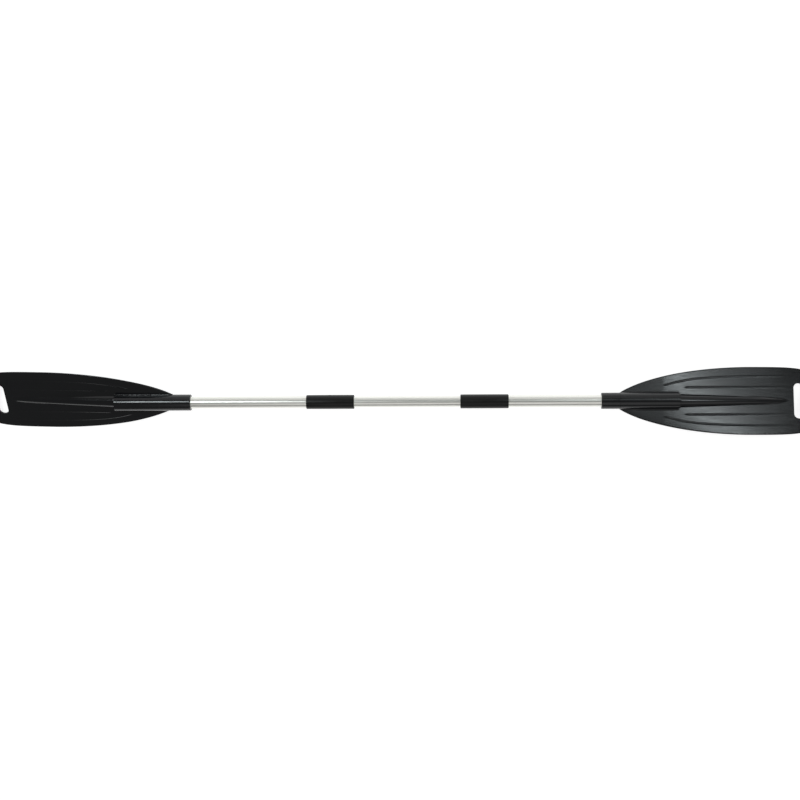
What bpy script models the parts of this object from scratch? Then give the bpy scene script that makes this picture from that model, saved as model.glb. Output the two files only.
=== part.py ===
"""Take-apart kayak paddle: two moulded blades on a three-piece aluminium shaft.

The paddle lies on the floor as it comes to rest there: the shaft level along X,
the backs of the blades up, and the two blades leaning opposite ways by half the
feather angle, each on its rim not far from its tip.
Every piece is drawn in millimetres about the shaft's axis, midway between the
two blade sockets, and hangs from one empty at the shaft's height.
A blade is drawn from the mouth of its socket outwards: "along" is the distance
from the mouth, and "across" is the distance from the blade's centre line.
"""

import math

import bmesh
import bpy
from mathutils import Matrix

MM = 0.001

# How the paddle lies on the floor.
FEATHER_DEG = 42.0
SHAFT_HEIGHT = 46.4

# Shaft: distances along X, outer radii and walls.
SOCKET_MOUTH = 503.2
TUBE_IN_SOCKET = 150.0
LEFT_JOINT = -99.8
RIGHT_JOINT = 160.6
JOINT_OVERLAP = 110.0
OUTER_TUBE_SETBACK = 4.3
CENTRE_TUBE_RADIUS = 13.8
CENTRE_TUBE_WALL = 1.2
OUTER_TUBE_RADIUS = 15.0
OUTER_TUBE_WALL = 0.95
TUBE_EDGE = 0.25
ROUND_SIDES = 32
CUTTER_REACH = 5.0

# Sleeves over the two shaft joints.
SLEEVE_LENGTH = 117.6
SLEEVE_RADIUS = 17.3
SLEEVE_LIP = 3.5
SLEEVE_EDGE = 0.8

# Clearances between pieces that touch.
FIT_GAP = 0.3

# Blade outline and sheet.
BLADE_LENGTH = 538.4
BLADE_HALF_WIDTH = 83.4
BLADE_ROOT = 45.4
BLADE_ROOT_HALF_WIDTH = 20.5
BLADE_ROOT_HANDLE = (47.7, 30.6)
BLADE_WIDEST = 354.0
BLADE_WIDEST_HANDLE = (-153.0, -2.4)
TIP_ROUNDNESS = 4.4
TIP_FLAT_HALF = 25.0
SHEET_THICK = 4.6
SHEET_HALFWAY_THICK = 4.3
SHEET_EDGE_THICK = 2.8
SHEET_RIM_THICK = 2.0
SHEET_EDGE_ROUND = 3.0
SHEET_EDGE_LEAST_SHARE = 0.8
SHEET_DROP = 6.4
SPOON_START = 152.0
SPOON_DEPTH = 14.0
SPOON_BEND = 1.1

# Blade socket, the spine that runs on from it, and the ribs: each rib starts and
# ends "along" the blade, and starts "across" from its centre line.
SOCKET_RADIUS = 20.0
SOCKET_EDGE = 0.9
SOCKET_LENGTH = 189.4
SOCKET_DEPTH = 152.0
SPINE_END = 459.0
SPINE_HALF_WIDTH = 14.6
SPINE_TIP_HALF_WIDTH = 1.5
SPINE_TAPER = 0.55
SPINE_BACK_SHARE = 1.0
SPINE_FRONT_SHARE = 0.6
SPINE_LEAST_RISE = 0.5
RIB_HALF_WIDTH = 2.2
RIB_HEIGHT = 1.3
RIB_END_SHARE = 0.55
RIB_CREST_SHARE = 0.4
RIB_SHOULDER_SHARE = 0.75
INNER_RIB = (208.4, 452.0, 32.6)
OUTER_RIB = (159.0, 460.0, 38.5)
OUTER_RIB_SPREAD = 22.0
OUTER_RIB_BEND = 4.8
SLOT_START = 468.6
SLOT_WIDTH = 23.0
SLOT_LENGTH = 86.0
SLOT_REACH = 60.0

# Snap buttons: distance from the mouth of the outer piece, radii and heights.
BUTTON_RADIUS = 3.5
BUTTON_FLANGE_RADIUS = 4.6
BUTTON_FLANGE_THICK = 0.8
BUTTON_DOME = 1.4
BUTTON_CROWN = (0.35, 0.75, 0.3)
BUTTON_HOLE_BELOW = 2.0
BUTTON_STAND = 1.2
BUTTON_SIDES = 16
BLADE_BUTTON_ALONG = 75.0
JOINT_BUTTON_ALONG = 60.0
CLIP_WIDTH = 8.0
CLIP_THICK = 0.8
CLIP_LENGTH = 44.0
CLIP_SEAT = 8.0
CLIP_BEND = 3.0

# Rubber bungs that close the tubes.
BUNG_LENGTH = 14.0
BUNG_WAIST = 0.9
BUNG_BEAD = (1.2, 3.4, 4.6)
BUNG_SIDES = 20
BUNG_BEHIND_BUTTON = 62.0
BUNG_BEHIND_JOINT = 12.0

# Colour, roughness and metallic of each kind of piece.
ALUMINIUM = ("satin_aluminium", (0.60, 0.60, 0.58), 0.32, 1.0)
BLADE_PLASTIC = ("blade_plastic", (0.020, 0.022, 0.026), 0.30, 0.0)
SLEEVE_PLASTIC = ("sleeve_plastic", (0.022, 0.022, 0.023), 0.42, 0.0)
STEEL = ("spring_steel", (0.55, 0.55, 0.56), 0.28, 1.0)
RUBBER = ("bung_rubber", (0.03, 0.03, 0.03), 0.80, 0.0)


# ---------------------------------------------------------------- helpers

def clear_scene():
    for thing in list(bpy.data.objects):
        bpy.data.objects.remove(thing, do_unlink=True)


def material(look):
    name, colour, roughness, metallic = look
    made = bpy.data.materials.get(name)
    if made:
        return made
    made = bpy.data.materials.new(name)
    made.use_nodes = True
    shader = made.node_tree.nodes["Principled BSDF"]
    shader.inputs["Base Color"].default_value = (*colour, 1.0)
    shader.inputs["Roughness"].default_value = roughness
    shader.inputs["Metallic"].default_value = metallic
    return made


def link(name, data, parent=None, matrix=None):
    thing = bpy.data.objects.new(name, data)
    bpy.context.scene.collection.objects.link(thing)
    thing.parent = parent
    if matrix is not None:
        thing.matrix_local = matrix
    return thing


def empty(name, parent, matrix):
    thing = link(name, None, parent, matrix)
    thing.empty_display_size = 0.05
    return thing


def at(along, across=0.0, up=0.0):
    """A shift in millimetres."""
    return Matrix.Translation((along * MM, across * MM, up * MM))


def roll(degrees):
    """A turn about the shaft."""
    return Matrix.Rotation(math.radians(degrees), 4, "X")


def mesh_from(name, points, faces):
    """A closed mesh from points in millimetres, its faces turned outwards."""
    mesh = bpy.data.meshes.new(name)
    mesh.from_pydata([[c * MM for c in point] for point in points], [], faces)
    work = bmesh.new()
    work.from_mesh(mesh)
    bmesh.ops.recalc_face_normals(work, faces=work.faces)
    work.to_mesh(mesh)
    work.free()
    return mesh


def finish(mesh, look, sharp_deg=35.0):
    mesh.materials.clear()
    mesh.materials.append(material(look))
    mesh.shade_smooth()
    mesh.set_sharp_from_angle(angle=math.radians(sharp_deg))


def skinned(name, rings):
    """Skin equal rings of points into a closed solid with flat ends."""
    count = len(rings[0])
    points = [point for ring in rings for point in ring]
    faces = [list(range(count)), list(range(len(points) - count, len(points)))]
    for start in range(0, len(points) - count, count):
        for i in range(count):
            j = (i + 1) % count
            faces.append([start + i, start + j, start + count + j, start + count + i])
    return mesh_from(name, points, faces)


def turned(name, profile, sides=ROUND_SIDES):
    """Turn a closed outline of (along, radius) about the shaft axis."""
    count = len(profile)
    points = []
    for side in range(sides):
        angle = math.tau * side / sides
        points += [(x, r * math.sin(angle), r * math.cos(angle)) for x, r in profile]
    faces = []
    for side in range(sides):
        here, there = side * count, (side + 1) % sides * count
        for i in range(count):
            j = (i + 1) % count
            faces.append([here + i, here + j, there + j, there + i])
    return mesh_from(name, points, faces)


def turned_solid(name, profile, sides=ROUND_SIDES):
    """Turn an open outline of (along, radius) into a solid with flat ends."""
    turn = [math.tau * side / sides for side in range(sides)]
    rings = [[(x, r * math.sin(a), r * math.cos(a)) for a in turn] for x, r in profile]
    return skinned(name, rings)


def tool(name, mesh, parent=None, matrix=None):
    """A cutter or an added body for a Boolean, hidden from renders."""
    thing = link(name, mesh, parent, matrix)
    thing.hide_render = True
    thing.display_type = "WIRE"
    return thing


def boolean(target, other, operation):
    modifier = target.modifiers.new(other.name, "BOOLEAN")
    modifier.operation = operation
    modifier.solver = "EXACT"
    modifier.object = other


def baked(thing):
    """The object's mesh with its modifiers applied, and the object removed."""
    depsgraph = bpy.context.evaluated_depsgraph_get()
    mesh = bpy.data.meshes.new_from_object(thing.evaluated_get(depsgraph))
    tools = [modifier.object for modifier in thing.modifiers]
    bpy.data.objects.remove(thing)
    for used in tools:
        bpy.data.objects.remove(used)
    return mesh


# ---------------------------------------------------------------- blade

def half_width(along):
    """Half the blade's width: a smooth swelling to the widest place, then a round tip."""
    if along > BLADE_WIDEST:
        share = min(1.0, (along - BLADE_WIDEST) / (BLADE_LENGTH - BLADE_WIDEST))
        return BLADE_HALF_WIDTH * (1 - share**TIP_ROUNDNESS) ** (1 / TIP_ROUNDNESS)
    handles = (
        (BLADE_ROOT, BLADE_ROOT_HALF_WIDTH),
        (BLADE_ROOT + BLADE_ROOT_HANDLE[0], BLADE_ROOT_HALF_WIDTH + BLADE_ROOT_HANDLE[1]),
        (BLADE_WIDEST + BLADE_WIDEST_HANDLE[0], BLADE_HALF_WIDTH + BLADE_WIDEST_HANDLE[1]),
        (BLADE_WIDEST, BLADE_HALF_WIDTH),
    )

    def bezier(t, axis):
        weights = ((1 - t) ** 3, 3 * t * (1 - t) ** 2, 3 * t * t * (1 - t), t**3)
        return sum(w * handle[axis] for w, handle in zip(weights, handles))

    low, high = 0.0, 1.0
    for _ in range(30):
        middle = (low + high) / 2
        if bezier(middle, 0) < along:
            low = middle
        else:
            high = middle
    return bezier(low, 1)


def tip_flat_along():
    """Where the round tip has narrowed to its short straight end."""
    share = (1 - (TIP_FLAT_HALF / BLADE_HALF_WIDTH) ** TIP_ROUNDNESS) ** (1 / TIP_ROUNDNESS)
    return BLADE_WIDEST + (BLADE_LENGTH - BLADE_WIDEST) * share


def spoon(along):
    """The height of the sheet's middle: below the shaft's axis, then bending further down."""
    share = max(0.0, (along - SPOON_START) / (BLADE_LENGTH - SPOON_START))
    return -SHEET_DROP - SPOON_DEPTH * share**SPOON_BEND


def blade_stations():
    """Distances along the blade, closer together where its outline turns."""
    root_steps, body_steps, tip_steps = 7, 9, 12
    root_crowding, tip_crowding = 1.5, 0.8
    stations = []
    for i in range(root_steps):
        share = (i / root_steps) ** root_crowding
        stations.append(BLADE_ROOT + (SPOON_START - BLADE_ROOT) * share)
    for i in range(body_steps):
        stations.append(SPOON_START + (BLADE_WIDEST - SPOON_START) * i / body_steps)
    end = tip_flat_along()
    for i in range(tip_steps + 1):
        share = math.sin(math.pi / 2 * i / tip_steps) ** tip_crowding
        stations.append(BLADE_WIDEST + (end - BLADE_WIDEST) * share)
    return stations


def blade_sheet():
    rings = []
    for along in blade_stations():
        wide = half_width(along)
        inset = max(wide - SHEET_EDGE_ROUND, SHEET_EDGE_LEAST_SHARE * wide)
        middle = spoon(along)
        upper = [
            (-wide, SHEET_RIM_THICK / 2),
            (-inset, SHEET_EDGE_THICK / 2),
            (-inset / 2, SHEET_HALFWAY_THICK / 2),
            (0.0, SHEET_THICK / 2),
            (inset / 2, SHEET_HALFWAY_THICK / 2),
            (inset, SHEET_EDGE_THICK / 2),
            (wide, SHEET_RIM_THICK / 2),
        ]
        lower = [(-across, -up) for across, up in upper]
        rings.append([(along, across, middle + up) for across, up in upper + lower])
    return skinned("sheet", rings)


def spine():
    """The round ridge that runs on from the socket and dies out before the slot."""
    steps, sides = 10, 16
    start = SOCKET_LENGTH - 2 * SOCKET_EDGE
    least = SHEET_THICK / 2 + SPINE_LEAST_RISE
    rings = []
    for i in range(steps + 1):
        share = i / steps
        along = start + (SPINE_END - start) * share
        wide = max(SPINE_HALF_WIDTH * (1 - share) ** SPINE_TAPER, SPINE_TIP_HALF_WIDTH)
        ring = []
        for side in range(sides):
            angle = math.tau * side / sides
            face_share = SPINE_BACK_SHARE if math.cos(angle) > 0 else SPINE_FRONT_SHARE
            tall = max(wide * face_share, least)
            ring.append((along, wide * math.sin(angle), spoon(along) + tall * math.cos(angle)))
        rings.append(ring)
    return skinned("spine", rings)


def rib(side, inner):
    """A low raised rib on both faces, following the blade's bend."""
    start, end, across = INNER_RIB if inner else OUTER_RIB
    spread = 0.0 if inner else OUTER_RIB_SPREAD
    steps = 9
    inside = SHEET_EDGE_THICK / 2
    tall = SHEET_THICK / 2 + RIB_HEIGHT
    rings = []
    for i in range(steps + 1):
        share = i / steps
        along = start + (end - start) * share
        centre = across + spread * (1 - math.exp(-OUTER_RIB_BEND * share))
        size = RIB_END_SHARE if i in (0, steps) else 1.0
        wide = RIB_HALF_WIDTH * size
        crest = wide * RIB_CREST_SHARE
        high = inside + (tall - inside) * size
        shoulder = high * RIB_SHOULDER_SHARE
        section = [
            (-wide, -shoulder), (-wide, shoulder), (-crest, high), (crest, high),
            (wide, shoulder), (wide, -shoulder), (crest, -high), (-crest, -high),
        ]
        rings.append([(along, side * (centre + a), spoon(along) + b) for a, b in section])
    return skinned("rib", rings)


def slot_cutter():
    """The hand slot: a stadium across the blade, cut straight through."""
    radius = SLOT_WIDTH / 2
    reach = SLOT_LENGTH / 2 - radius
    steps = 10
    outline = []
    for i in range(steps + 1):
        angle = math.pi * i / steps
        outline.append((radius * math.cos(angle), reach + radius * math.sin(angle)))
    outline += [(-a, -b) for a, b in outline]
    centre = SLOT_START + radius
    rings = [[(centre + a, b, up) for a, b in outline] for up in (-SLOT_REACH, SLOT_REACH)]
    return skinned("slot", rings)


def blade_mesh():
    sheet = tool("blade_work", blade_sheet())
    added = [spine()] + [rib(side, inner) for inner in (True, False) for side in (-1, 1)]
    added.insert(0, turned_solid("socket", [
        (0.0, SOCKET_RADIUS - SOCKET_EDGE), (SOCKET_EDGE, SOCKET_RADIUS),
        (SOCKET_LENGTH - SOCKET_EDGE, SOCKET_RADIUS), (SOCKET_LENGTH, SOCKET_RADIUS - SOCKET_EDGE),
    ]))
    for number, mesh in enumerate(added):
        boolean(sheet, tool(f"add_{number}", mesh), "UNION")
    bore_radius = OUTER_TUBE_RADIUS + FIT_GAP
    cutters = [
        turned_solid("bore", [(-CUTTER_REACH, bore_radius), (SOCKET_DEPTH, bore_radius)]),
        slot_cutter(),
        button_hole(BLADE_BUTTON_ALONG, SOCKET_RADIUS + CUTTER_REACH),
    ]
    for number, mesh in enumerate(cutters):
        boolean(sheet, tool(f"cut_{number}", mesh), "DIFFERENCE")
    mesh = baked(sheet)
    mesh.name = "blade"
    finish(mesh, BLADE_PLASTIC)
    return mesh


# ---------------------------------------------------------------- shaft

def button_hole(along, reach, turn_deg=0.0, radius=BUTTON_RADIUS + FIT_GAP):
    """A radial cutter for a snap button, pointing down unless it is turned."""
    rings = []
    for depth in (BUTTON_HOLE_BELOW, reach):
        ring = []
        for side in range(BUTTON_SIDES):
            angle = math.tau * side / BUTTON_SIDES
            turn = math.radians(turn_deg)
            across = radius * math.cos(angle)
            ring.append((
                along + radius * math.sin(angle),
                across * math.cos(turn) + depth * math.sin(turn),
                across * math.sin(turn) - depth * math.cos(turn),
            ))
        rings.append(ring)
    return skinned("hole", rings)


def tube_mesh(name, start, end, radius, wall, holes):
    """A drawn tube with slightly broken edges and its button holes."""
    edge = TUBE_EDGE
    inner = radius - wall
    body = tool(name + "_work", turned(name, [
        (start, inner), (start, radius - edge), (start + edge, radius),
        (end - edge, radius), (end, radius - edge), (end, inner),
    ]))
    for number, (along, turn_deg) in enumerate(holes):
        hole = button_hole(along, radius + CUTTER_REACH, turn_deg)
        boolean(body, tool(f"{name}_cut_{number}", hole), "DIFFERENCE")
    mesh = baked(body)
    mesh.name = name
    finish(mesh, ALUMINIUM)
    return mesh


def sleeve_mesh(name, start, end, lip_at_start, holes):
    """A moulded sleeve on an outer tube, with a lip that closes on the centre tube."""
    bore = OUTER_TUBE_RADIUS + FIT_GAP
    lip_bore = CENTRE_TUBE_RADIUS + FIT_GAP
    outline = [
        (0.0, lip_bore), (0.0, SLEEVE_RADIUS - SLEEVE_EDGE), (SLEEVE_EDGE, SLEEVE_RADIUS),
        (end - start - SLEEVE_EDGE, SLEEVE_RADIUS), (end - start, SLEEVE_RADIUS - SLEEVE_EDGE),
        (end - start, bore), (SLEEVE_LIP, bore), (SLEEVE_LIP, lip_bore),
    ]
    if lip_at_start:
        placed = [(start + along, radius) for along, radius in outline]
    else:
        placed = [(end - along, radius) for along, radius in outline]
    body = tool(name + "_work", turned(name, placed))
    for number, (along, turn_deg) in enumerate(holes):
        hole_radius = BUTTON_RADIUS + 2 * FIT_GAP
        hole = button_hole(along, SLEEVE_RADIUS + CUTTER_REACH, turn_deg, hole_radius)
        boolean(body, tool(f"{name}_cut_{number}", hole), "DIFFERENCE")
    mesh = baked(body)
    mesh.name = name
    finish(mesh, SLEEVE_PLASTIC)
    return mesh


def button_mesh(name, seat, top):
    """A domed button with a flange, standing up from its own origin on the shaft axis."""
    crown_drop, crown_share, top_share = BUTTON_CROWN
    profile = [
        (seat, BUTTON_FLANGE_RADIUS), (seat + BUTTON_FLANGE_THICK, BUTTON_FLANGE_RADIUS),
        (seat + BUTTON_FLANGE_THICK, BUTTON_RADIUS), (top - BUTTON_DOME, BUTTON_RADIUS),
        (top - BUTTON_DOME * crown_drop, BUTTON_RADIUS * crown_share),
        (top, BUTTON_RADIUS * top_share),
    ]
    rings = []
    for height, radius in profile:
        turn = [math.tau * side / BUTTON_SIDES for side in range(BUTTON_SIDES)]
        rings.append([(radius * math.cos(a), radius * math.sin(a), height) for a in turn])
    mesh = skinned(name, rings)
    finish(mesh, STEEL)
    return mesh


def clip_mesh(name, seat, wall_reach, away):
    """A leaf spring bent to a V: one leg under the button, the other on the far wall."""
    top = seat - FIT_GAP - CLIP_THICK / 2
    bottom = -(wall_reach - FIT_GAP - CLIP_THICK / 2)
    path = [(CLIP_SEAT, top), (-CLIP_SEAT, top)]
    bend_steps = 6
    for i in range(bend_steps + 1):
        angle = math.pi * i / bend_steps
        path.append((-CLIP_LENGTH - CLIP_BEND * math.sin(angle), CLIP_BEND * math.cos(angle)))
    path.append((CLIP_SEAT, bottom))
    sides = []
    for offset in (CLIP_THICK / 2, -CLIP_THICK / 2):
        edge = []
        for i, (x, z) in enumerate(path):
            before = path[max(i - 1, 0)]
            after = path[min(i + 1, len(path) - 1)]
            run, rise = after[0] - before[0], after[1] - before[1]
            size = math.hypot(run, rise)
            edge.append((x + rise / size * offset, z - run / size * offset))
        sides.append(edge)
    outline = sides[0] + sides[1][::-1]
    half = CLIP_WIDTH / 2
    mesh = skinned(name, [[(away * x, y, z) for x, z in outline] for y in (-half, half)])
    finish(mesh, STEEL)
    return mesh


def bung_mesh(name, radius):
    """A rubber plug with two sealing beads."""
    half = BUNG_LENGTH / 2
    waist = radius - BUNG_WAIST
    end = waist - BUNG_WAIST
    bead_start, bead_end, waist_start = BUNG_BEAD
    half_profile = [
        (half, end), (half - bead_start, radius),
        (half - bead_end, radius), (half - waist_start, waist),
    ]
    profile = [(-along, high) for along, high in half_profile] + half_profile[::-1]
    mesh = turned_solid(name, profile, BUNG_SIDES)
    finish(mesh, RUBBER)
    return mesh


# ---------------------------------------------------------------- assembly

def snap_lock(name, parent, along, turn_deg, inner_radius, outer_radius, away):
    """A button and its clip in the inner tube, the button pointing down."""
    place = at(along) @ roll(180.0 + turn_deg)
    flange_drop = math.sqrt(inner_radius**2 - BUTTON_FLANGE_RADIUS**2)
    seat = flange_drop - FIT_GAP - BUTTON_FLANGE_THICK
    wall_reach = math.sqrt(inner_radius**2 - (CLIP_WIDTH / 2) ** 2)
    link(name + "_button", button_mesh(name + "_button", seat, outer_radius + BUTTON_STAND),
         parent, place)
    link(name + "_clip", clip_mesh(name + "_clip", seat, wall_reach, away), parent, place)


def build():
    clear_scene()
    paddle = empty("shaft_axis", None, at(0.0, up=SHAFT_HEIGHT))

    # Centre tube: it reaches into both outer tubes, with a button near each end.
    left_button = LEFT_JOINT - JOINT_BUTTON_ALONG
    right_button = RIGHT_JOINT + JOINT_BUTTON_ALONG
    link("centre_tube", tube_mesh(
        "centre_tube", LEFT_JOINT - JOINT_OVERLAP, RIGHT_JOINT + JOINT_OVERLAP,
        CENTRE_TUBE_RADIUS, CENTRE_TUBE_WALL, [(left_button, 0.0), (right_button, 0.0)],
    ), paddle)
    centre_bore = CENTRE_TUBE_RADIUS - CENTRE_TUBE_WALL
    for name, button, away in (("left_joint", left_button, -1), ("right_joint", right_button, 1)):
        snap_lock(name, paddle, button, 0.0, centre_bore, SLEEVE_RADIUS, away)
        bung = bung_mesh(f"centre_tube_{name[:-6]}_bung", centre_bore - FIT_GAP)
        link(bung.name, bung, paddle, at(button - away * BUNG_BEHIND_BUTTON))

    blade = blade_mesh()
    outer_bore = OUTER_TUBE_RADIUS - OUTER_TUBE_WALL
    for name, away, joint, button, lean, settings in (
        ("left", -1, LEFT_JOINT, left_button, FEATHER_DEG / 2, 3),
        ("right", 1, RIGHT_JOINT, right_button, -FEATHER_DEG / 2, 1),
    ):
        # One hole for each feather setting: only the left outer tube turns on the centre tube.
        joint_holes = [(button, setting * FEATHER_DEG) for setting in range(settings)]
        blade_button = away * (SOCKET_MOUTH + BLADE_BUTTON_ALONG)
        ends = sorted((joint + away * OUTER_TUBE_SETBACK, away * (SOCKET_MOUTH + TUBE_IN_SOCKET)))
        link(f"{name}_tube", tube_mesh(
            f"{name}_tube", *ends, OUTER_TUBE_RADIUS, OUTER_TUBE_WALL,
            joint_holes + [(blade_button, lean)],
        ), paddle)
        sleeve_ends = sorted((joint, joint + away * SLEEVE_LENGTH))
        link(f"{name}_sleeve", sleeve_mesh(
            f"{name}_sleeve", *sleeve_ends, away > 0, joint_holes,
        ), paddle)
        snap_lock(f"{name}_blade", paddle, blade_button, lean, outer_bore, SOCKET_RADIUS, away)
        bung_places = {
            "inner": joint + away * (JOINT_OVERLAP + BUNG_BEHIND_JOINT),
            "outer": blade_button - away * BUNG_BEHIND_BUTTON,
        }
        for where, along in bung_places.items():
            bung = bung_mesh(f"{name}_tube_{where}_bung", outer_bore - FIT_GAP)
            link(bung.name, bung, paddle, at(along))
        heading = Matrix.Rotation(0.0 if away > 0 else math.pi, 4, "Z")
        link(f"{name}_blade", blade, paddle, at(away * SOCKET_MOUTH) @ roll(lean) @ heading)


build()
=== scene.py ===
"""The looks of the take-apart kayak paddle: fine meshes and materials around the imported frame."""

import math

import bmesh
import bpy
from mathutils import Matrix, Vector


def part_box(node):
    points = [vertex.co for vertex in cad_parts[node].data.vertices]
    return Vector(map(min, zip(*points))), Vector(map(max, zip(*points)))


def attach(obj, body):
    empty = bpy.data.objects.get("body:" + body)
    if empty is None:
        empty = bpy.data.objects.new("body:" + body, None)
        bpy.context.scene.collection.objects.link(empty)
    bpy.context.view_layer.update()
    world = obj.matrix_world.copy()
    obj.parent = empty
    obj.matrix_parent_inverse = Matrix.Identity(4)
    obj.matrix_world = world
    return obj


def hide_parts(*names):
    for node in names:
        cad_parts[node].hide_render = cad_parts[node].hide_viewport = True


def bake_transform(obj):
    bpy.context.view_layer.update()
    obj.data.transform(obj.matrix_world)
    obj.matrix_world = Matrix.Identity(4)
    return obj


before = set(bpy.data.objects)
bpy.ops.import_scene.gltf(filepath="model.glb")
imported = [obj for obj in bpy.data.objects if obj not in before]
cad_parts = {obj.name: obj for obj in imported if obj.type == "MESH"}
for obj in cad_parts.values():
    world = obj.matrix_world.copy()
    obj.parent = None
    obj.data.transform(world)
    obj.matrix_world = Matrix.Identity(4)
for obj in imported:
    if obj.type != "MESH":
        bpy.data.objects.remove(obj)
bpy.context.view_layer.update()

MM = 0.001

# The paddle's own sizes, in millimetres, that the frame's boxes don't give.
HALF_FEATHER_DEG = 21.0
FEATHER_SETTINGS_DEG = (0.0, 42.0, 84.0)
FIT_GAP = 0.3

# Tubes and sleeves.
OUTER_TUBE_WALL = 0.95
CENTRE_TUBE_WALL = 1.2
TUBE_EDGE = 0.25
SLEEVE_LIP = 3.5
SLEEVE_EDGE = 1.2

# Snap buttons and the clips under them.
BUTTON_RADIUS = 3.5
BUTTON_FLANGE_RADIUS = 4.6
BUTTON_FLANGE_THICK = 0.8
BUTTON_FLANGE_EDGE = 0.2
BUTTON_DOME = 1.5
BUTTON_DOME_SQUARENESS = 0.7
BUTTON_STAND = 1.2

# Bungs: the waist and its ends, below the sealing beads.
BUNG_WAIST_DROP = 0.9
BUNG_END_DROP = 0.8
BUNG_EDGE = 0.5
BUNG_EDGE_DROP = 0.1
BUNG_BEAD_INSET = 2.3
BUNG_BEAD_FOOT = 1.4
BUNG_BEAD_SHOULDER = 0.8
BUNG_BEAD_SHOULDER_DROP = 0.15

# Blade outline and sheet, from the mouth of the socket outwards.
BLADE_LENGTH = 538.4
BLADE_HALF_WIDTH = 83.35
BLADE_ROOT = 45.4
BLADE_ROOT_HALF_WIDTH = 20.5
BLADE_ROOT_HANDLE = (47.7, 30.6)
BLADE_WIDEST = 354.0
BLADE_WIDEST_HANDLE = (-153.0, -2.4)
TIP_ROUNDNESS = 4.4
TIP_FLAT_HALF = 25.0
SHEET_THICK = 4.6
SHEET_EDGE_THICK = 2.8
SHEET_EDGE_ROUND = 2.4
SHEET_DROP = 6.4
SPOON_START = 152.0
SPOON_DEPTH = 14.0
SPOON_BEND = 1.1

# Blade socket and the spine that runs on from it.
SOCKET_RADIUS = 19.99
SOCKET_LENGTH = 189.4
SOCKET_DEPTH = 152.0
SOCKET_BORE_RADIUS = 15.3
SOCKET_EDGE = 1.1
SOCKET_FILLET = 2.6
SOCKET_LEAST_FILLET = 0.02
SOCKET_FILLET_MARGIN = 1.0
STEP_GROOVE = 3.0
STEP_GROOVE_SHARE = 0.10
SPINE_END = 459.0
SPINE_HALF_WIDTH = 14.6
SPINE_TAPER = 0.55
SPINE_FRONT_SHARE = 0.6
SPINE_SKIRT = 2.0
SPINE_FLARE = 6

# Ribs: each starts and ends "along" the blade, and starts "across" from its centre line.
RIB_HALF_WIDTH = 2.2
RIB_HEIGHT = 0.85
RIB_FADE = 0.86
RIB_END_RUN = 3.0
RIB_END_SHARE = 0.02
RIB_ROUNDNESS = 1.2
INNER_RIB = (208.4, 452.0, 32.6)
OUTER_RIB = (159.0, 460.0, 38.5)
OUTER_RIB_SPREAD = 22.0
OUTER_RIB_BEND = 4.8

# Openings in the blade.
SLOT_START = 468.6
SLOT_WIDTH = 23.0
SLOT_LENGTH = 86.0
BLADE_BUTTON_ALONG = 75.0

# How far the cutters go: out of the socket, up and down through the sheet, and for
# button holes from near the shaft's axis to past the outside.
BORE_REACH = 5.0
SLOT_REACH = 60.0
HOLE_START = 3.0
HOLE_REACH = 5.0
BLADE_HOLE_REACH = 40.0

# How finely round things are drawn: sides of a full turn and steps of a part of one.
# An edge sharper than SHARP_DEG stays hard.
ROUND = 96
BUTTON_ROUND = 48
BUTTON_DOME_STEPS = 8
HOLE_ROUND = 40
CORNER_STEPS = 4
SHARP_DEG = 38.0
SLOT_END_STEPS = 24
HALVINGS = 30

# Half a section of the blade, from its centre line outwards: the socket or spine, its
# foot, five bands of sheet that end on the ribs' sides, and the rim. The bands take up
# at least a share of the sheet, and each ends at least a twelfth of them on.
CORE_STEPS = 18
FILLET_STEPS = 5
BAND_STEPS = (7, 10, 6, 10, 9)
LEAST_BANDS_SHARE = 0.2
LEAST_BAND_PART = 12
EDGE_STEPS = 5

# How far apart the blade's sections are.
MOUTH_STATIONS = (0.0, 0.35, 0.75, SOCKET_EDGE, 12.0, 26.0, BLADE_ROOT - 0.4, BLADE_ROOT)
ROOT_RUN = 60.0
ROOT_SPACING = 1.2
ROOT_SPACING_GROWTH = 0.05
LEAST_SPACING = 1.0
BLADE_SPACING = 4.0
STEP_STATIONS = (-1.2, -0.5, 0.0, 0.3, 0.8, 1.6, 2.6, STEP_GROOVE, 5.0, 8.0)
STEP_CLEARANCE = 5.0
TIP_STATIONS = 44
TIP_CROWDING = 0.9

SHAFT_HEIGHT = sum(corner.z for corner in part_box("centre_tube")) / 2 / MM


# ---------------------------------------------------------------- mesh helpers

def mesh_from(name, points, faces, matrix=None):
    """A mesh from points in millimetres, moved by matrix, its faces turned outwards."""
    mesh = bpy.data.meshes.new(name)
    mesh.from_pydata([[c * MM for c in point] for point in points], [], faces)
    work = bmesh.new()
    work.from_mesh(mesh)
    bmesh.ops.recalc_face_normals(work, faces=work.faces)
    if matrix is not None:
        bmesh.ops.transform(work, matrix=matrix, verts=work.verts)
    work.to_mesh(mesh)
    work.free()
    return mesh


def skinned(name, rings, matrix=None):
    """Skin equal rings of points into a closed solid with flat ends."""
    count = len(rings[0])
    points = [point for ring in rings for point in ring]
    faces = [list(range(count)), list(range(len(points) - count, len(points)))]
    for start in range(0, len(points) - count, count):
        for i in range(count):
            j = (i + 1) % count
            faces.append([start + i, start + j, start + count + j, start + count + i])
    return mesh_from(name, points, faces, matrix)


def circle(radius, sides, along=0.0):
    """Points round the X axis."""
    turn = [math.tau * side / sides for side in range(sides)]
    return [(along, radius * math.sin(a), radius * math.cos(a)) for a in turn]


def turned_solid(name, profile, matrix=None, sides=ROUND):
    """Turn an open outline of (along, radius) about X into a solid with flat ends."""
    return skinned(name, [circle(r, sides, x) for x, r in profile], matrix)


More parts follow.
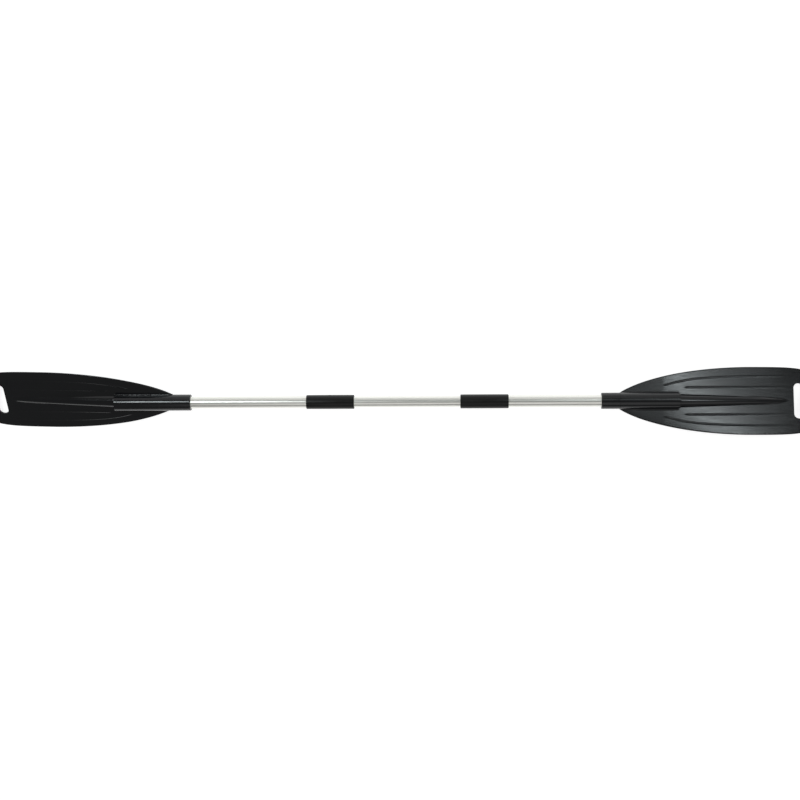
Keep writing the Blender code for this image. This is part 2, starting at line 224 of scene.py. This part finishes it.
def turned_ring(name, profile, matrix=None, sides=ROUND):
    """Turn a closed outline of (along, radius) about X."""
    count = len(profile)
    points = []
    for side in range(sides):
        a = math.tau * side / sides
        points += [(x, r * math.sin(a), r * math.cos(a)) for x, r in profile]
    faces = []
    for side in range(sides):
        here, there = side * count, (side + 1) % sides * count
        for i in range(count):
            j = (i + 1) % count
            faces.append([here + i, here + j, there + j, there + i])
    return mesh_from(name, points, faces, matrix)


def rounded_corner(x, y, from_deg, to_deg, radius):
    """Points on a quarter turn about (x, y)."""
    turned = to_deg - from_deg
    turn = [math.radians(from_deg + turned * i / CORNER_STEPS) for i in range(CORNER_STEPS + 1)]
    return [(x + radius * math.cos(a), y + radius * math.sin(a)) for a in turn]


def thing(name, data):
    """A new object in the scene."""
    made = bpy.data.objects.new(name, data)
    bpy.context.scene.collection.objects.link(made)
    return made


def cut(mesh, cutters):
    """The mesh with every cutter taken away."""
    body = thing("work", mesh)
    tools = [thing("cutter", cutter) for cutter in cutters]
    for used in tools:
        modifier = body.modifiers.new("cut", "BOOLEAN")
        modifier.operation = "DIFFERENCE"
        modifier.solver = "EXACT"
        modifier.object = used
    depsgraph = bpy.context.evaluated_depsgraph_get()
    made = bpy.data.meshes.new_from_object(body.evaluated_get(depsgraph))
    made.name = mesh.name
    for used in [body, *tools]:
        bpy.data.objects.remove(used)
    return made


def smooth(mesh):
    """Smooth shading that keeps hard edges."""
    mesh.shade_smooth()
    mesh.set_sharp_from_angle(angle=math.radians(SHARP_DEG))


def at(along, up=0.0):
    """A place in millimetres, straight above or below the X axis."""
    return Matrix.Translation((along * MM, 0.0, up * MM))


def shaft_place(along, turn_deg=0.0):
    """A place on the shaft's axis, turned about it."""
    return at(along, SHAFT_HEIGHT) @ Matrix.Rotation(math.radians(turn_deg), 4, "X")


def box_mm(node):
    """Start, end and outer radius of a round node on the shaft, in millimetres."""
    low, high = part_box(node)
    return low.x / MM, high.x / MM, (high.z - low.z) / 2 / MM


def place_piece(name, mesh, look, body, node):
    """Put a finished mesh into the frame in place of one CAD node."""
    smooth(mesh)
    mesh.materials.clear()
    mesh.materials.append(look)
    piece = thing(name, mesh)
    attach(piece, body)
    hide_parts(node)


# ---------------------------------------------------------------- materials

EVEN = (1.0, 1.0, 1.0)

# Where a mix node keeps its two colours and their mix.
MIX_COLOURS = slice(6, 8)
MIX_RESULT = 2


class Nodes:
    """Short names for the node calls that every material here makes."""

    def __init__(self, name, colour, roughness, metallic=0.0):
        self.material = bpy.data.materials.new(name)
        self.material.use_nodes = True
        self.tree = self.material.node_tree
        self.shader = self.tree.nodes["Principled BSDF"]
        self.shader.inputs["Base Color"].default_value = (*colour, 1.0)
        self.shader.inputs["Roughness"].default_value = roughness
        self.shader.inputs["Metallic"].default_value = metallic
        self.place = self.tree.nodes.new("ShaderNodeTexCoord").outputs["Object"]

    def link(self, source, target):
        """Join two sockets."""
        self.tree.links.new(source, target)

    def noise(self, stretch, scale, detail, rough=0.5):
        """Noise on the object's own metres, drawn out along X when the first stretch is small."""
        mapping = self.tree.nodes.new("ShaderNodeMapping")
        mapping.inputs["Scale"].default_value = stretch
        texture = self.tree.nodes.new("ShaderNodeTexNoise")
        texture.inputs["Scale"].default_value = scale
        texture.inputs["Detail"].default_value = detail
        texture.inputs["Roughness"].default_value = rough
        self.link(self.place, mapping.inputs["Vector"])
        self.link(mapping.outputs["Vector"], texture.inputs["Vector"])
        return texture.outputs["Fac"]

    def spread(self, source, low, high, from_low=0.3, from_high=0.7):
        """Map a factor onto a range of values."""
        node = self.tree.nodes.new("ShaderNodeMapRange")
        node.inputs["From Min"].default_value = from_low
        node.inputs["From Max"].default_value = from_high
        node.inputs["To Min"].default_value = low
        node.inputs["To Max"].default_value = high
        self.link(source, node.inputs["Value"])
        return node.outputs["Result"]

    def blend(self, factor, first, second):
        """Mix two colours by a factor; either may be a plain colour."""
        node = self.tree.nodes.new("ShaderNodeMix")
        node.data_type = "RGBA"
        self.link(factor, node.inputs["Factor"])
        for socket, value in zip(node.inputs[MIX_COLOURS], (first, second)):
            if isinstance(value, tuple):
                socket.default_value = (*value, 1.0)
            else:
                self.link(value, socket)
        return node.outputs[MIX_RESULT]

    def bump(self, source, strength, distance, before=None):
        """A normal from heights, on top of another normal if there is one."""
        node = self.tree.nodes.new("ShaderNodeBump")
        node.inputs["Strength"].default_value = strength
        node.inputs["Distance"].default_value = distance
        self.link(source, node.inputs["Height"])
        if before is not None:
            self.link(before, node.inputs["Normal"])
        return node.outputs["Normal"]

    def set(self, name, source):
        """Feed one of the shader's inputs."""
        self.link(source, self.shader.inputs[name])


def blade_plastic():
    """Glossy moulded polypropylene: faint flow waves, a fine moulded grain and light scuffs."""
    made = Nodes("blade_plastic", (0.0050, 0.0058, 0.0072), 0.22)
    flow = made.noise(stretch=(6.0, 14.0, 14.0), scale=1.0, detail=2.0)
    grain = made.noise(stretch=EVEN, scale=420.0, detail=2.0)
    scuffs = made.noise(stretch=(30.0, 160.0, 160.0), scale=1.0, detail=6.0, rough=0.7)
    clouded = made.spread(flow, low=0.0, high=1.0)
    shade = made.blend(clouded, (0.0042, 0.0050, 0.0064), (0.0062, 0.0070, 0.0085))
    scratched = made.spread(scuffs, low=0.0, high=0.5, from_low=0.66, from_high=0.80)
    made.set("Base Color", made.blend(scratched, shade, (0.022, 0.024, 0.027)))
    made.set("Roughness", made.spread(scuffs, low=0.12, high=0.20))
    waves = made.bump(flow, strength=0.04, distance=0.0010)
    made.set("Normal", made.bump(grain, strength=0.02, distance=0.0001, before=waves))
    made.shader.inputs["IOR"].default_value = 1.46
    return made.material


def satin_aluminium():
    """Bare anodised tube with the fine lengthwise lines of a drawn surface."""
    made = Nodes("satin_aluminium", (0.83, 0.83, 0.81), 0.30, metallic=1.0)
    lines = made.noise(stretch=(3.0, 900.0, 900.0), scale=1.0, detail=3.0)
    cloud = made.noise(stretch=(8.0, 30.0, 30.0), scale=1.0, detail=2.0)
    made.set("Base Color", made.blend(cloud, (0.80, 0.80, 0.755), (0.86, 0.86, 0.82)))
    made.set("Roughness", made.spread(lines, low=0.26, high=0.38))
    made.set("Normal", made.bump(lines, strength=0.10, distance=0.0002))
    return made.material


def sleeve_plastic():
    """Semi-matte black sleeve with a fine pebbled skin and a few lengthwise drag marks."""
    made = Nodes("sleeve_plastic", (0.006, 0.006, 0.006), 0.34)
    made.shader.inputs["IOR"].default_value = 1.36
    pebble = made.noise(stretch=EVEN, scale=1400.0, detail=2.0)
    drag = made.noise(stretch=(12.0, 260.0, 260.0), scale=1.0, detail=4.0, rough=0.6)
    rubbed = made.spread(drag, low=0.0, high=1.0, from_low=0.48, from_high=0.72)
    made.set("Base Color", made.blend(rubbed, (0.0030, 0.0030, 0.0030), (0.0090, 0.0090, 0.0085)))
    made.set("Roughness", made.spread(drag, low=0.28, high=0.42))
    made.set("Normal", made.bump(pebble, strength=0.30, distance=0.0002))
    return made.material


def spring_steel():
    """Stainless steel with a faint rolled grain."""
    made = Nodes("spring_steel", (0.62, 0.62, 0.63), 0.25, metallic=1.0)
    rolled = made.noise(stretch=(80.0, 900.0, 900.0), scale=1.0, detail=3.0)
    made.set("Base Color", made.blend(rolled, (0.56, 0.56, 0.57), (0.68, 0.68, 0.68)))
    made.set("Roughness", made.spread(rolled, low=0.18, high=0.34))
    made.set("Normal", made.bump(rolled, strength=0.15, distance=0.0001))
    return made.material


def bung_rubber():
    """Dull black rubber with a dusty bloom."""
    made = Nodes("bung_rubber", (0.030, 0.030, 0.030), 0.78)
    bloom = made.noise(stretch=EVEN, scale=220.0, detail=4.0)
    made.set("Base Color", made.blend(bloom, (0.022, 0.022, 0.022), (0.050, 0.049, 0.047)))
    made.set("Roughness", made.spread(bloom, low=0.68, high=0.88))
    made.set("Normal", made.bump(bloom, strength=0.30, distance=0.0003))
    return made.material


# ---------------------------------------------------------------- blade

def half_width(along):
    """Half the blade's width: a smooth swelling to the widest place, then a round tip."""
    if along > BLADE_WIDEST:
        share = min(1.0, (along - BLADE_WIDEST) / (BLADE_LENGTH - BLADE_WIDEST))
        return BLADE_HALF_WIDTH * (1 - share**TIP_ROUNDNESS) ** (1 / TIP_ROUNDNESS)
    handles = (
        (BLADE_ROOT, BLADE_ROOT_HALF_WIDTH),
        (BLADE_ROOT + BLADE_ROOT_HANDLE[0], BLADE_ROOT_HALF_WIDTH + BLADE_ROOT_HANDLE[1]),
        (BLADE_WIDEST + BLADE_WIDEST_HANDLE[0], BLADE_HALF_WIDTH + BLADE_WIDEST_HANDLE[1]),
        (BLADE_WIDEST, BLADE_HALF_WIDTH),
    )

    def bezier(t, axis):
        weights = ((1 - t) ** 3, 3 * t * (1 - t) ** 2, 3 * t * t * (1 - t), t**3)
        return sum(w * handle[axis] for w, handle in zip(weights, handles))

    low, high = 0.0, 1.0
    for _ in range(HALVINGS):
        middle = (low + high) / 2
        if bezier(middle, 0) < along:
            low = middle
        else:
            high = middle
    return bezier(low, 1)


def tip_flat_along():
    """Where the round tip is cut off, once its outline is nearly straight across."""
    share = (1 - (TIP_FLAT_HALF / BLADE_HALF_WIDTH) ** TIP_ROUNDNESS) ** (1 / TIP_ROUNDNESS)
    return BLADE_WIDEST + (BLADE_LENGTH - BLADE_WIDEST) * share


def spoon(along):
    """The height of the sheet's middle: below the shaft's axis, then bending further down."""
    share = max(0.0, (along - SPOON_START) / (BLADE_LENGTH - SPOON_START))
    return -SHEET_DROP - SPOON_DEPTH * share**SPOON_BEND


def eased(value):
    """0 to 1 with soft ends."""
    value = min(1.0, max(0.0, value))
    return value * value * (3 - 2 * value)


def rib_middle(share, centre, spread):
    """How far a rib is from the blade's centre line, a share of the way along it."""
    return centre + spread * (1 - math.exp(-OUTER_RIB_BEND * max(share, 0.0)))


def rib_lift(along, across):
    """How far the ribs stand up from the sheet at a place."""
    lift = 0.0
    for (start, end, centre), spread in ((INNER_RIB, 0.0), (OUTER_RIB, OUTER_RIB_SPREAD)):
        share = (along - start) / (end - start)
        if not -RIB_END_SHARE < share < 1 + RIB_END_SHARE:
            continue
        off = abs(across - rib_middle(share, centre, spread)) / RIB_HALF_WIDTH
        if off < 1.0:
            ends = eased(min(along - start, end - along) / RIB_END_RUN + 1.0)
            fade = 1 - RIB_FADE * max(share, 0.0)
            lift += RIB_HEIGHT * fade * ends * math.cos(off * math.pi / 2) ** RIB_ROUNDNESS
    return lift


def sheet_half_thickness(along, across, wide):
    """From the sheet's middle to its face, ribs and all."""
    share = min(1.0, across / wide)
    plain = SHEET_THICK / 2 + (SHEET_EDGE_THICK - SHEET_THICK) / 2 * share**2
    return plain + rib_lift(along, across)


def band_edges(along, inner, outer):
    """Where the sheet's bands begin and end, so that lines of points follow the ribs."""
    start, end, centre = OUTER_RIB
    outer_rib = rib_middle(min(1.0, (along - start) / (end - start)), centre, OUTER_RIB_SPREAD)
    inner_rib = INNER_RIB[2]
    wanted = (
        inner_rib - RIB_HALF_WIDTH, inner_rib + RIB_HALF_WIDTH,
        outer_rib - RIB_HALF_WIDTH, outer_rib + RIB_HALF_WIDTH,
    )
    edges = [inner]
    for number, across in enumerate(wanted, start=1):
        most = inner + (outer - inner) * number / len(BAND_STEPS)
        least = inner + (outer - inner) * number / LEAST_BAND_PART
        edges.append(max(min(across, most), least))
    return edges + [outer]


def spine_half_width(along):
    """Half the spine's width: a small groove past the socket's step, then a taper to a point."""
    share = min(1.0, (along - SOCKET_LENGTH) / (SPINE_END - SOCKET_LENGTH))
    groove = 1 - STEP_GROOVE_SHARE * (1 - eased((along - SOCKET_LENGTH) / STEP_GROOVE))
    return SPINE_HALF_WIDTH * (1 - share) ** SPINE_TAPER * groove


def socket_arc(radius, end, level, steps):
    """Points round the shaft's axis, from the crown to an angle."""
    turn = [end * i / steps for i in range(steps + 1)]
    return [(radius * math.sin(a), radius * math.cos(a) - level) for a in turn]


def mouth_section(along, level):
    """Half of the bare socket, before the sheet begins."""
    radius = SOCKET_RADIUS - max(0.0, SOCKET_EDGE - along)
    steps = CORE_STEPS + FILLET_STEPS + sum(BAND_STEPS) + EDGE_STEPS
    return socket_arc(radius, math.acos(level / radius), level, steps)


def socket_section(wide, level):
    """The socket's side, which meets the sheet's face with a small fillet."""
    flat = SHEET_THICK / 2
    line = level + flat
    room = (wide - SOCKET_FILLET_MARGIN) ** 2 - SOCKET_RADIUS**2 + line**2
    fillet = min(SOCKET_FILLET, max(SOCKET_LEAST_FILLET, room / (2 * (SOCKET_RADIUS - line))))
    across = math.sqrt((SOCKET_RADIUS + fillet) ** 2 - (line + fillet) ** 2)
    end = math.atan2(across, line + fillet)
    outline = socket_arc(SOCKET_RADIUS, end, level, CORE_STEPS)
    for i in range(1, FILLET_STEPS + 1):
        a = end * (1 - i / FILLET_STEPS)
        outline.append((across - fillet * math.sin(a), flat + fillet - fillet * math.cos(a)))
    return outline


def spine_section(along, wide, face):
    """The spine's side, which runs out into the sheet with a small skirt."""
    core = spine_half_width(along)
    tall = core if face > 0 else core * SPINE_FRONT_SHARE
    steps = CORE_STEPS + FILLET_STEPS
    outline = []
    for i in range(steps + 1):
        share = i / steps
        across = core * math.sin(math.pi / 2 * share) + SPINE_SKIRT * share**SPINE_FLARE
        rise = max(0.0, tall - SHEET_THICK / 2) * math.cos(math.pi / 2 * share)
        outline.append((across, sheet_half_thickness(along, across, wide) + rise))
    return outline


def half_section(along, face):
    """Points from the blade's centre line to its edge, over the back (1) or front (-1) face.

    Heights are from the sheet's middle, away from the other face. "level" is the height
    of the sheet's middle above the shaft's axis, as this face sees it.
    """
    level = face * spoon(along)
    if along < BLADE_ROOT:
        return mouth_section(along, level)
    wide = half_width(along)
    if along <= SOCKET_LENGTH:
        outline = socket_section(wide, level)
    else:
        outline = spine_section(along, wide, face)
    inner = outline[-1][0]
    outer = max(wide - SHEET_EDGE_ROUND, inner + LEAST_BANDS_SHARE * (wide - inner))
    edges = band_edges(along, inner, outer)
    for low, high, steps in zip(edges, edges[1:], BAND_STEPS):
        for i in range(1, steps + 1):
            across = low + (high - low) * i / steps
            outline.append((across, sheet_half_thickness(along, across, wide)))
    rim, rim_height = outline[-1]
    for i in range(1, EDGE_STEPS + 1):
        a = math.pi / 2 * i / EDGE_STEPS
        outline.append((rim + (wide - rim) * math.sin(a), rim_height * math.cos(a)))
    return outline


def blade_stations():
    """Distances from the socket's mouth, closest where the shape changes fastest."""
    places = list(MOUTH_STATIONS)
    along = BLADE_ROOT
    while along < SOCKET_LENGTH - STEP_CLEARANCE - LEAST_SPACING:
        in_root = along < BLADE_ROOT + ROOT_RUN
        along += ROOT_SPACING + (along - BLADE_ROOT) * ROOT_SPACING_GROWTH if in_root else BLADE_SPACING
        places.append(min(along, SOCKET_LENGTH - STEP_CLEARANCE))
    places += [SOCKET_LENGTH + past for past in STEP_STATIONS]
    along = places[-1]
    while along < BLADE_WIDEST - BLADE_SPACING:
        along += BLADE_SPACING
        places.append(along)
    reach = tip_flat_along() - along
    for i in range(1, TIP_STATIONS + 1):
        places.append(along + reach * math.sin(math.pi / 2 * i / TIP_STATIONS) ** TIP_CROWDING)
    return places


def slot_cutter():
    """A slot with round ends, across the blade and right through it."""
    radius = SLOT_WIDTH / 2
    reach = SLOT_LENGTH / 2 - radius
    middle = SLOT_START + radius
    outline = []
    for i in range(SLOT_END_STEPS + 1):
        a = math.pi * i / SLOT_END_STEPS
        outline.append((radius * math.cos(a), reach + radius * math.sin(a)))
    outline += [(-a, -b) for a, b in outline]
    rings = [[(middle + a, b, up) for a, b in outline] for up in (-SLOT_REACH, SLOT_REACH)]
    return skinned("slot", rings)


def blade_mesh():
    """A whole blade about the shaft's axis, its socket's mouth at the origin and its back up."""
    rings = []
    for along in blade_stations():
        back = half_section(along, 1)
        front = half_section(along, -1)
        middle = spoon(along)
        upper = back[::-1] + [(-a, b) for a, b in back[1:]]
        lower = [(-a, -b) for a, b in front[1:-1][::-1]] + [(a, -b) for a, b in front[:-1]]
        rings.append([(along, a, middle + b) for a, b in upper + lower])
    bore = turned_solid("bore", [(-BORE_REACH, SOCKET_BORE_RADIUS), (SOCKET_DEPTH, SOCKET_BORE_RADIUS)])
    hole = hole_cutter(BUTTON_RADIUS + FIT_GAP, BLADE_HOLE_REACH, at(BLADE_BUTTON_ALONG))
    return cut(skinned("blade", rings), [bore, slot_cutter(), hole])


# ---------------------------------------------------------------- shaft

def hole_cutter(radius, reach, matrix):
    """A round cutter that points down from the shaft's axis."""
    rings = []
    for depth in (-HOLE_START, -reach):
        turn = [math.tau * side / HOLE_ROUND for side in range(HOLE_ROUND)]
        rings.append([(radius * math.sin(a), radius * math.cos(a), depth) for a in turn])
    return skinned("hole", rings, matrix)


def tube_mesh(node, wall, holes):
    """A drawn tube with broken edges and button holes, on the CAD tube's own box."""
    start, end, radius = box_mm(node)
    inner = radius - wall
    profile = [(start, inner), (start, radius - TUBE_EDGE), (start + TUBE_EDGE, radius)]
    profile += [(end - TUBE_EDGE, radius), (end, radius - TUBE_EDGE), (end, inner)]
    reach = radius + HOLE_REACH
    cutters = [hole_cutter(BUTTON_RADIUS + FIT_GAP, reach, shaft_place(*hole)) for hole in holes]
    return cut(turned_ring(node, profile, shaft_place(0.0)), cutters)


def sleeve_mesh(node, lip_at_start, tube_radius, lip_radius, holes):
    """A sleeve with rounded ends and a lip that closes on the centre tube."""
    start, end, radius = box_mm(node)
    length = end - start
    edge = SLEEVE_EDGE
    profile = [(0.0, lip_radius)]
    profile += rounded_corner(edge, radius - edge, 180, 90, edge)
    profile += rounded_corner(length - edge, radius - edge, 90, 0, edge)
    profile += [(length, tube_radius), (SLEEVE_LIP, tube_radius), (SLEEVE_LIP, lip_radius)]
    placed = [(start + x, r) if lip_at_start else (end - x, r) for x, r in profile]
    reach = radius + HOLE_REACH
    cutters = [hole_cutter(BUTTON_RADIUS + 2 * FIT_GAP, reach, shaft_place(*hole)) for hole in holes]
    return cut(turned_ring(node, placed, shaft_place(0.0)), cutters)


def button_mesh(node, seat, top, along, turn_deg):
    """A domed button with its flange, pointing down."""
    shoulder = seat + BUTTON_FLANGE_THICK
    profile = [(seat, BUTTON_FLANGE_RADIUS - BUTTON_FLANGE_EDGE)]
    profile += [(seat + BUTTON_FLANGE_EDGE, BUTTON_FLANGE_RADIUS)]
    profile += [(shoulder, BUTTON_FLANGE_RADIUS), (shoulder, BUTTON_RADIUS)]
    for i in range(BUTTON_DOME_STEPS):
        a = math.pi / 2 * i / BUTTON_DOME_STEPS
        out = top - BUTTON_DOME + BUTTON_DOME * math.sin(a)
        profile.append((out, BUTTON_RADIUS * math.cos(a) ** BUTTON_DOME_SQUARENESS))
    stand = Matrix.Rotation(math.radians(90.0), 4, "Y")
    return turned_solid(node, profile, shaft_place(along, turn_deg) @ stand, BUTTON_ROUND)


def bung_mesh(node):
    """A plug with two sealing beads and broken edges."""
    start, end, radius = box_mm(node)
    waist = radius - BUNG_WAIST_DROP
    shoulder = radius - BUNG_BEAD_SHOULDER_DROP
    half = (end - start) / 2
    outline = [(-half, waist - BUNG_END_DROP), (-half + BUNG_EDGE, waist - BUNG_EDGE_DROP)]
    for bead in (-half + BUNG_BEAD_INSET, half - BUNG_BEAD_INSET):
        outline += [(bead - BUNG_BEAD_FOOT, waist), (bead - BUNG_BEAD_SHOULDER, shoulder), (bead, radius)]
        outline += [(bead + BUNG_BEAD_SHOULDER, shoulder), (bead + BUNG_BEAD_FOOT, waist)]
    outline += [(half - BUNG_EDGE, waist - BUNG_EDGE_DROP), (half, waist - BUNG_END_DROP)]
    return turned_solid(node, outline, shaft_place((start + end) / 2))


def bending_clip(node, look):
    """The clip's CAD shape, a V, copied with smooth shading and the steel look in place of the CAD node."""
    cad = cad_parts[node]
    mesh = cad.data.copy()
    mesh.transform(cad.matrix_world)
    smooth(mesh)
    mesh.materials.clear()
    mesh.materials.append(look)
    piece = thing(f"{node}_skin", mesh)
    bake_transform(piece)
    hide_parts(node)


# ---------------------------------------------------------------- the paddle

def centre_of(node):
    """The middle of a node along the shaft."""
    return sum(corner.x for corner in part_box(node)) / 2 / MM


def build_snap(node, bore, outside, turn_deg, steel):
    """A button and its clip, inside a tube of radius bore."""
    along = centre_of(node)
    seat = math.sqrt(bore**2 - BUTTON_FLANGE_RADIUS**2) - FIT_GAP - BUTTON_FLANGE_THICK
    made = button_mesh(node, seat, outside + BUTTON_STAND, along, turn_deg)
    place_piece(f"{node}_skin", made, steel, node, node)
    clip = node.replace("_button", "_clip")
    bending_clip(clip, steel)


def build_side(side, away, lean_deg, holes, looks):
    """One outer tube with its sleeve, blade and two snap buttons.

    "away" is the direction along X from the middle, 1 or -1. "holes" are the places and
    turns of the button holes that the tube and the sleeve share.
    """
    shaft = f"{side}_shaft"
    tube = f"{side}_tube"
    sleeve = f"{side}_sleeve"
    blade = f"{side}_blade"
    blade_button = f"{side}_blade_button"
    centre_radius = box_mm("centre_tube")[2]
    outer_radius = box_mm(tube)[2]

    tube_holes = holes + [(centre_of(blade_button), lean_deg)]
    made = tube_mesh(tube, OUTER_TUBE_WALL, tube_holes)
    place_piece(f"{tube}_skin", made, looks["aluminium"], shaft, tube)
    made = sleeve_mesh(sleeve, away > 0, outer_radius + FIT_GAP, centre_radius + FIT_GAP, holes)
    place_piece(f"{sleeve}_skin", made, looks["sleeve"], shaft, sleeve)

    low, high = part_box(blade)
    mouth = (low.x if away > 0 else high.x) / MM
    heading = Matrix.Rotation(0.0 if away > 0 else math.pi, 4, "Z")
    made = blade_mesh()
    made.transform(shaft_place(mouth, lean_deg) @ heading)
    place_piece(f"{blade}_skin", made, looks["blade"], blade, blade)

    centre_bore = centre_radius - CENTRE_TUBE_WALL
    outer_bore = outer_radius - OUTER_TUBE_WALL
    sleeve_radius = box_mm(sleeve)[2]
    build_snap(f"{side}_joint_button", centre_bore, sleeve_radius, 0.0, looks["steel"])
    build_snap(blade_button, outer_bore, SOCKET_RADIUS, lean_deg, looks["steel"])


def build_paddle():
    """Every piece of the paddle, each in place of its CAD node."""
    looks = {
        "blade": blade_plastic(),
        "aluminium": satin_aluminium(),
        "sleeve": sleeve_plastic(),
        "steel": spring_steel(),
    }
    rubber = bung_rubber()

    left_joint = centre_of("left_joint_button")
    right_joint = centre_of("right_joint_button")
    tube = "centre_tube"
    made = tube_mesh(tube, CENTRE_TUBE_WALL, [(left_joint, 0.0), (right_joint, 0.0)])
    place_piece(f"{tube}_skin", made, looks["aluminium"], "centre_shaft", tube)

    left_holes = [(left_joint, turn) for turn in FEATHER_SETTINGS_DEG]
    build_side("left", -1, HALF_FEATHER_DEG, left_holes, looks)
    build_side("right", 1, -HALF_FEATHER_DEG, [(right_joint, 0.0)], looks)

    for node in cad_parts:
        if node.endswith("_bung"):
            side = node.split("_")[0]
            place_piece(f"{node}_skin", bung_mesh(node), rubber, f"{side}_shaft", node)


# ---------------------------------------------------------------- studio

CAMERA_TILT_DEG = 14.5
CAMERA_YAW_DEG = 2.42
CAMERA_ROLL_DEG = -0.24
CAMERA_DISTANCE = 3.228
CAMERA_SHIFT = (0.01265, 0.0041)
SENSOR_WIDTH_MM = 36.0
VIEW_WIDTH = 1.963

FLOOR_HALF_SIZE = 40.0
FLOOR_GREY = (0.62, 0.62, 0.62)
FLOOR_ROUGHNESS = 0.9
FLOOR_GLOW = 0.82
WORLD_COLOUR = (1.0, 0.99, 0.96, 1.0)
WORLD_STRENGTH = 0.20
WHITE = (1.0, 1.0, 1.0)
COOL_WHITE = (0.90, 0.98, 1.0)


def add_camera():
    """Almost overhead, leaning a little over the far side and towards the right blade."""
    data = bpy.data.cameras.new("camera")
    data.sensor_width = SENSOR_WIDTH_MM
    data.lens = SENSOR_WIDTH_MM * CAMERA_DISTANCE / VIEW_WIDTH
    camera = thing("camera", data)
    turn = Matrix.Rotation(math.radians(-CAMERA_TILT_DEG), 4, "X")
    turn = turn @ Matrix.Rotation(math.radians(CAMERA_YAW_DEG), 4, "Y")
    turn = turn @ Matrix.Rotation(math.radians(CAMERA_ROLL_DEG), 4, "Z")
    reach = Matrix.Translation((*CAMERA_SHIFT, CAMERA_DISTANCE))
    camera.matrix_world = shaft_place(0.0) @ turn @ reach
    bpy.context.scene.camera = camera


def add_floor():
    """A pale sheet that glows a little, like a lit table."""
    mesh = bpy.data.meshes.new("floor")
    size = FLOOR_HALF_SIZE
    corners = [(-size, -size, 0), (size, -size, 0), (size, size, 0), (-size, size, 0)]
    mesh.from_pydata(corners, [], [(0, 1, 2, 3)])
    made = Nodes("floor_white", FLOOR_GREY, FLOOR_ROUGHNESS)
    made.shader.inputs["Emission Color"].default_value = (*WHITE, 1.0)
    made.shader.inputs["Emission Strength"].default_value = FLOOR_GLOW
    mesh.materials.append(made.material)
    thing("floor", mesh)


def add_light(name, place, target, size, radiance, spin_deg=0.0, colour=WHITE):
    """A soft panel; its power follows from how bright its face looks."""
    data = bpy.data.lights.new(name, "AREA")
    data.shape = "RECTANGLE"
    data.size, data.size_y = size
    data.energy = radiance * math.pi * size[0] * size[1]
    data.color = colour
    light = thing(name, data)
    light.location = place
    aim = (Vector(target) - Vector(place)).to_track_quat("-Z", "Y").to_matrix().to_4x4()
    light.rotation_euler = (aim @ Matrix.Rotation(math.radians(spin_deg), 4, "Z")).to_euler()


def add_overhead(name, place, size, radiance, spin_deg=0.0, colour=COOL_WHITE):
    """A panel that faces straight down."""
    add_light(name, place, (place[0], place[1], 0.0), size, radiance, spin_deg, colour)


def add_studio():
    """Broad panels all round, and small ones overhead for the highlights along each blade."""
    add_floor()
    add_light("key", place=(0.0, 3.6, 1.45), target=(0.0, 0.0, 0.0), size=(6.5, 1.8), radiance=0.62)
    add_light("fill", place=(0.6, -1.7, 3.3), target=(0.6, -0.4, 0.0), size=(3.8, 2.2), radiance=0.66)
    add_light("low_fill", place=(1.25, -4.2, 0.75), target=(1.25, 0.0, 0.1), size=(5.5, 1.2), radiance=0.72)
    add_overhead("left_box", place=(-1.37, 1.45, 3.0), size=(0.44, 0.8), radiance=18.0)
    add_overhead("middle_box", place=(-0.58, 1.0, 3.1), size=(0.30, 0.6), radiance=2.6, colour=WHITE)
    add_overhead("right_box", place=(1.72, 2.0, 3.0), size=(0.56, 1.9), radiance=1.30)
    add_overhead("right_dim", place=(1.08, 2.0, 3.0), size=(0.72, 1.7), radiance=0.80)
    add_overhead("right_strip", place=(1.54, 1.5, 2.9), size=(0.15, 1.3), radiance=11.0, spin_deg=18.0)
    world = bpy.data.worlds.new("studio")
    world.use_nodes = True
    shade = world.node_tree.nodes["Background"]
    shade.inputs["Color"].default_value = WORLD_COLOUR
    shade.inputs["Strength"].default_value = WORLD_STRENGTH
    bpy.context.scene.world = world
    bpy.context.scene.view_settings.view_transform = "Standard"


build_paddle()
add_studio()
add_camera()
